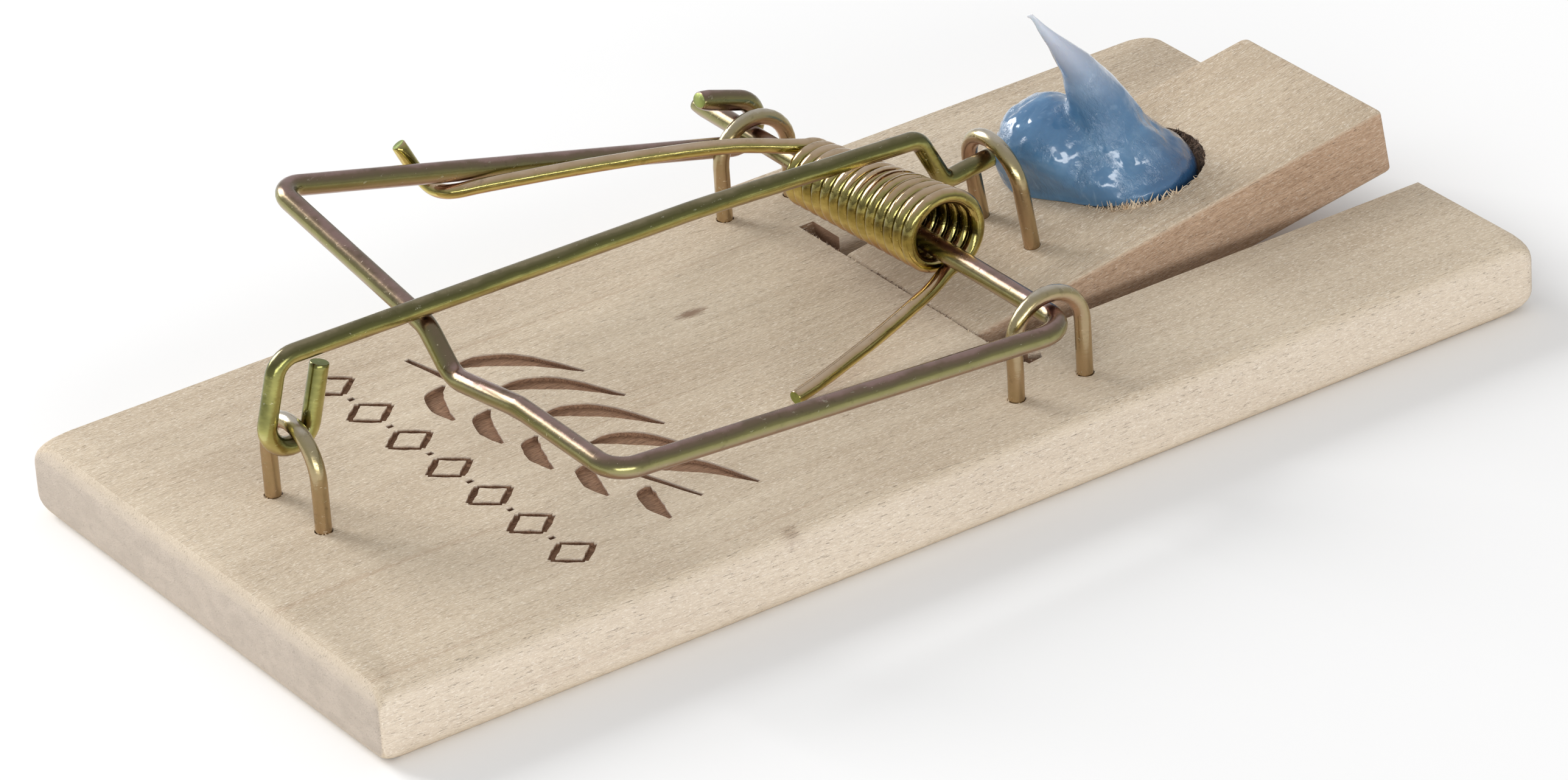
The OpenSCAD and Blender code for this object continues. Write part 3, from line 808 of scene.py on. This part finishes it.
def build_lock():
    """One wire: hook round the front staple's arch, long bar, and step down to the tip at the paddle's staple."""
    mid, r, lean = np.array([*FRONT_STAPLE, FRONT_STAPLE_TOP]), 1.75, math.radians(15)
    up = np.array([math.sin(lean), 0, math.cos(lean)])
    side = np.array([math.cos(lean), 0, -math.sin(lean)])
    left = mid - side * r
    top = left + up * (17.7 - left[2]) / up[2]
    line = [mid + side * r + up * 4.3, mid + side * r + up * 1.5]
    for k in range(17):
        a = math.radians(345 - 180 * k / 16)
        line.append(mid + r * np.array([math.cos(a), 0, math.sin(a)]))
    rest = fillet([left, top, (-6, 1.6, 17.35), (12.9, 1.6, 16.42), (14.98, 1.6, 12.4), (19.1, 1.6, 12.93)],
                  [0, 1.7, 80, 1.3, 1.2, 0])
    line = spaced(line) + rest[1:]
    place(wire("lock", line, LOCK_D, mat_lock, 24), "lock", "lock_bar", "bar_wire")


def staple_line(centre, along, w, h, lean=(0, 0)):
    """Points of a U staple: up one leg, over the arch and down the other, in the plane of along and Z.

    The legs are w apart, and go LEG_DEPTH into the wood. lean bends each leg outwards at its middle.
    """
    c, d = np.array(centre, float), unit(np.array(along, float))
    up = np.array([0, 0, 1.0])
    r = w / 2
    line = [c - d * r - up * LEG_DEPTH, c - d * r + up * 0.2]
    line += [c - d * (r - lean[0] * 0.5) + up * (h - r) * 0.5]
    for k in range(17):
        a = math.pi - math.pi * k / 16
        line.append(c + d * r * math.cos(a) + up * (h - r + r * math.sin(a)))
    line += [c + d * (r - lean[1] * 0.5) + up * (h - r) * 0.5]
    line += [c + d * r + up * 0.2, c + d * r - up * LEG_DEPTH]
    return spaced(line, 1.2)


def build_staples():
    for name, y, lean in (("near_staple", NEAR_STAPLE_Y, (0.06, 0)), ("far_staple", FAR_STAPLE_Y, (0, 0))):
        line = staple_line((AXLE_STAPLE_X, y, BOARD_T), (1, 0, 0), AXLE_STAPLE_W, AXLE_STAPLE_TOP - BOARD_T, lean)
        place(wire(name + "_wire", line, STAPLE_D, mat_staple), "base", name, "staple_wire")
    line = staple_line((*FRONT_STAPLE, BOARD_T), (0, 1, 0), FRONT_STAPLE_W, FRONT_STAPLE_TOP - BOARD_T)
    place(wire("front_staple_wire", line, STAPLE_D, mat_staple), "base", "front_staple", "staple_wire")
    u, v = PADDLE_STAPLE
    line = staple_line((0, 0, 0), (0, 1, 0), PADDLE_STAPLE_W, PADDLE_STAPLE_H)
    line = [on_paddle(u + p[0], v + p[1], PADDLE_T / 2 + p[2]) for p in line]
    place(wire("paddle_staple_wire", line, STAPLE_D, mat_staple), "paddle", "paddle_staple", "staple_wire")


def build_pin():
    line = [np.array([HINGE[0], y, HINGE[2]]) for y in np.linspace(PIN_Y0, PIN_Y1, 12)]
    place(wire("hinge_pin", line, PIN_D, mat_pin, 16), "base", "paddle_pin", "pin_steel")


def build_spring():
    """Coil that narrows towards its far end, with a leg on the board and one that hooks under the hammer's arm."""
    y0, y1, turns, steps = -5.2, 11.5, 14.5, 40
    m0, m1, r0, r1 = np.array([10.4, 12.42]), np.array([9.9, 11.12]), 2.75, 2.0
    board_leg = [(-5.3, -8.38, 6.2), (-2.7, -7.9, 6.5), (0.3, -7.3, 7.0), (3.4, -6.75, 7.65), (6.45, -6.15, 8.4),
                 (8.4, -5.75, 8.95)]
    hammer_leg = [(8.6, 12.05, 13.32), (6.9, 12.7, 13.7), (4.8, 13.5, 14.05), (0.6, 15.05, 14.32),
                  (-5.7, 17.35, 14.42), (-12, 19.6, 14.35), (-14.1, 20.4, 14.25), (-14.9, 21.2, 14.2),
                  (-15.25, 22.1, 14.35), (-15.6, 22.9, 15.05), (-15.9, 23.2, 15.75), (-16.7, 23.6, 17.6)]
    coil = []
    for i in range(int(turns * steps) + 1):
        t = i / (turns * steps)
        a = math.radians(-90 + 360 * turns * t)
        m, r = m0 * (1 - t) + m1 * t, r0 * (1 - t) + r1 * t
        coil.append(np.array([m[0] + r * math.cos(a), y0 + (y1 - y0) * t, m[1] + r * math.sin(a)]))
    start = smooth_line(board_leg + [coil[0], coil[3]], 4)[:-4]
    end = smooth_line([coil[-4], coil[-1]] + hammer_leg, 5)[5:]
    line = start[:-1] + coil + end[1:]
    obj = wire("spring", line, SPRING_D, mat_spring, 16, ("cut", "pinched"), wobble=0.004)
    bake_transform(obj)
    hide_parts("torsion_spring")


# ---------------------------------------------------------------- gel
GEL_VOXEL = 0.2
PLUG_R, PLUG_H = 4.8, 4.6  # the gel's part in the bait hole


def gel_blob():
    """Closed mesh of the gel in millimetres: a dab with a spike, a lobe beside it, and a plug in the hole."""
    u0, v0, _ = HOLE
    spike = [((30.1, 1, 7.8), 4.7), ((29.3, 1.1, 10.4), 3.5), ((28.8, 1.2, 13), 2.65), ((28.0, 1.1, 15.2), 1.95),
             ((26.6, 1, 17.9), 1.25), ((24.7, 1, 20.5), 0.62), ((23.2, 1, 22.4), 0.34), ((22.6, 1, 22.95), 0.27),
             ((22.0, 1, 22.9), 0.24)]
    balls = [((26.1, 3.9, 10.1), 4.35), ((26.6, 2.9, 9.3), 3.6), ((27.3, 2.6, 10.6), 3.5), ((28.1, 1.7, 11.3), 2.9),
             ((28.2, 1.0, 8.4), 3.8), ((29.5, 1.1, 8.2), 4.4), ((31.4, 0.4, 7.4), 4.2)]
    for (a, ra), (b, rb) in zip(spike[:-1], spike[1:]):
        a, b = np.array(a, float), np.array(b, float)
        n = max(3, int(np.linalg.norm(b - a) / (0.22 * min(ra, rb) + 0.1)))
        balls += [(a + (b - a) * k / n, ra + (rb - ra) * k / n) for k in range(n)]
    balls.append((np.array(spike[-1][0]), spike[-1][1]))
    bm = bmesh.new()
    for c, r in balls:
        bmesh.ops.create_icosphere(bm, subdivisions=3, radius=r, matrix=Matrix.Translation(c))
    foot, axis = on_paddle(u0 - 0.5, v0, PADDLE_T / 2 - 3.95), on_paddle(0, 0, 1) - on_paddle(0, 0, 0)
    plug = cylinder(foot, axis, PLUG_R, PLUG_H, 64)
    made = [bm.verts.new(v) for v in plug[0]]
    for f in plug[1]:
        bm.faces.new([made[i] for i in f])
    bmesh.ops.recalc_face_normals(bm, faces=bm.faces)
    data = bpy.data.meshes.new("gel")
    bm.to_mesh(data)
    bm.free()
    obj = bpy.data.objects.new("gel_work", data)
    scene.collection.objects.link(obj)
    remesh = obj.modifiers.new("remesh", "REMESH")
    remesh.mode, remesh.voxel_size = "VOXEL", GEL_VOXEL
    relax = obj.modifiers.new("relax", "SMOOTH")
    relax.factor, relax.iterations = 0.6, 10
    dg = bpy.context.evaluated_depsgraph_get()
    data = bpy.data.meshes.new_from_object(obj.evaluated_get(dg))
    bpy.data.objects.remove(obj)
    return data


def gel_folds(p, normal, height):
    """The point moved out by folds and lumps, which fade towards the paddle and towards the tip."""
    lift = min(1.0, max(0.0, height / 1.5))
    flow = Vector((p.x * 0.55 + p.z * 0.32, p.y * 0.8, p.z * 0.16 - p.x * 0.1))
    fold = noise.noise(flow * 1.2) * 0.16 + noise.noise(flow * 3.6 + Vector((4, 0, 0))) * 0.05
    lump = noise.noise(p * 0.4) * 0.2 + noise.noise(p * 2.0) * 0.02
    thin = min(1.0, max(0.12, (21 - p.z) / 9))
    return p + normal * (fold + lump) * lift * thin


def clear_of_staple(p):
    """The point pushed back softly behind a slanting line, which keeps the lobe clear of the paddle's staple."""
    side = (p.x - 24.0) * -0.906 + (p.y - 2.6) * -0.423
    room = 0.05 + 1.5 * min(1.0, max(0.0, (p.z - 8.0) / 3.2))
    push = 0.35 * math.log1p(math.exp(min(40, (side - room) / 0.35)))
    return p + Vector((0.906, 0.423, 0)) * push


def build_gel():
    u0, v0, _ = HOLE
    data = gel_blob()
    top = PADDLE_T / 2 + 0.05
    normals = [v.normal.copy() for v in data.vertices]
    for v, n in zip(data.vertices, normals):
        p = clear_of_staple(gel_folds(v.co, n, (from_paddle @ v.co).z - top))
        q = from_paddle @ p
        if q.z < top and math.hypot(q.x - u0, q.y - v0) > 4.95:  # the gel lies flat on the paddle round the hole
            q.z = top
        v.co = (to_paddle @ q) * MM
    place(dress("gel", data, mat_gel, sharp=180), "paddle", "bait_gel", "gel")


# ---------------------------------------------------------------- stage
def build_stage():
    """Pale floor, white surroundings and two soft lights, which shine on the origin."""
    bpy.ops.mesh.primitive_plane_add(size=6, location=(0, 0, -0.00002))
    floor = bpy.context.object
    floor.name = "floor"
    s = Shader("floor_white", rough=0.9)
    patch = s.noise(s.stretch((0.002,) * 3))
    s.bsdf.inputs["Specular IOR Level"].default_value = 0.1
    floor.data.materials.append(s.finish(s.ramp(patch, [(0.0, (0.93, 0.93, 0.93)), (1.0, (0.95, 0.95, 0.95))])))
    world = bpy.data.worlds.new("studio")
    scene.world = world
    world.use_nodes = True
    back = world.node_tree.nodes["Background"]
    back.inputs["Color"].default_value = (1, 1, 1, 1)
    back.inputs["Strength"].default_value = 0.62
    for name, at, size, power in (
        ("key", (-0.3, 0.8, 0.42), (0.42, 0.55), 8.0),
        ("front", (-0.35, -0.85, 0.22), (0.9, 0.2), 4.4),
    ):
        light = bpy.data.lights.new(name, "AREA")
        light.shape, light.size, light.size_y, light.energy = "RECTANGLE", *size, power
        obj = bpy.data.objects.new(name, light)
        obj.location = at
        obj.rotation_euler = (-Vector(at)).to_track_quat("-Z", "Y").to_euler()
        scene.collection.objects.link(obj)
    scene.view_settings.view_transform = "Standard"


build_board()
build_paddle()
build_fibres()
build_hammer()
build_lock()
build_staples()
build_pin()
build_spring()
build_gel()
build_stage()
